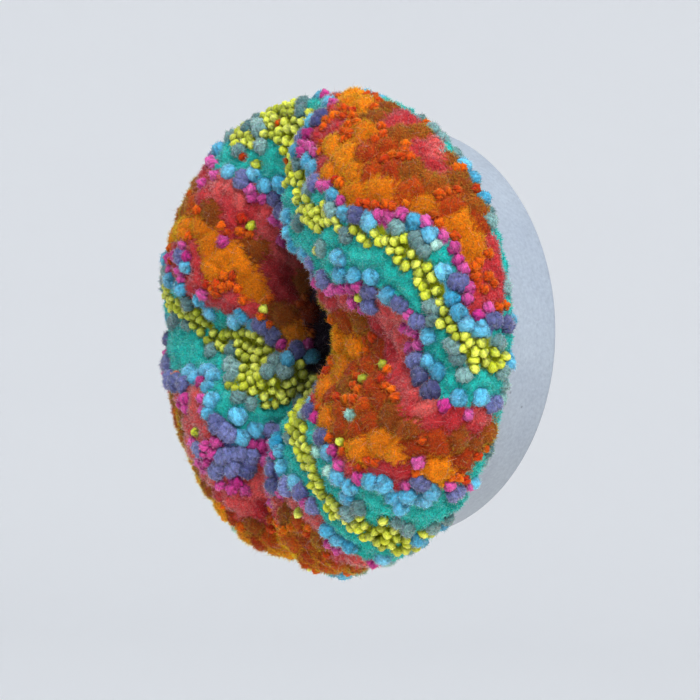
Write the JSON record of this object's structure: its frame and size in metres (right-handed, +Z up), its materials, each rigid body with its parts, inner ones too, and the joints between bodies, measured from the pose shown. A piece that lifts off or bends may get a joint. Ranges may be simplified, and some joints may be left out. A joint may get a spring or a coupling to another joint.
{
  "type": "punch needle wall piece on round drum",
  "caption": "Round folded textile of looped and cut wool pile with a hollow in its middle, on a shallow round drum that hangs on a wall.",
  "frame": {"origin": "centre of the drum's flat back face, on the wall plane", "axes": "+Y into the wall, the front faces -Y, +Z up, +X to the right as seen from the front"},
  "size_m": [0.1162, 0.0467, 0.116],
  "materials": {
    "painted_drum": "smooth matt pale grey-blue paint",
    "wool_pile": "punched wool yarn in orange, coral, pink, violet, sky blue, teal and lime, loops and cut pile with loose fibres"
  },
  "bodies": {
    "root": {"drum": "painted_drum", "textile": "wool_pile"}
  },
  "joints": []
}
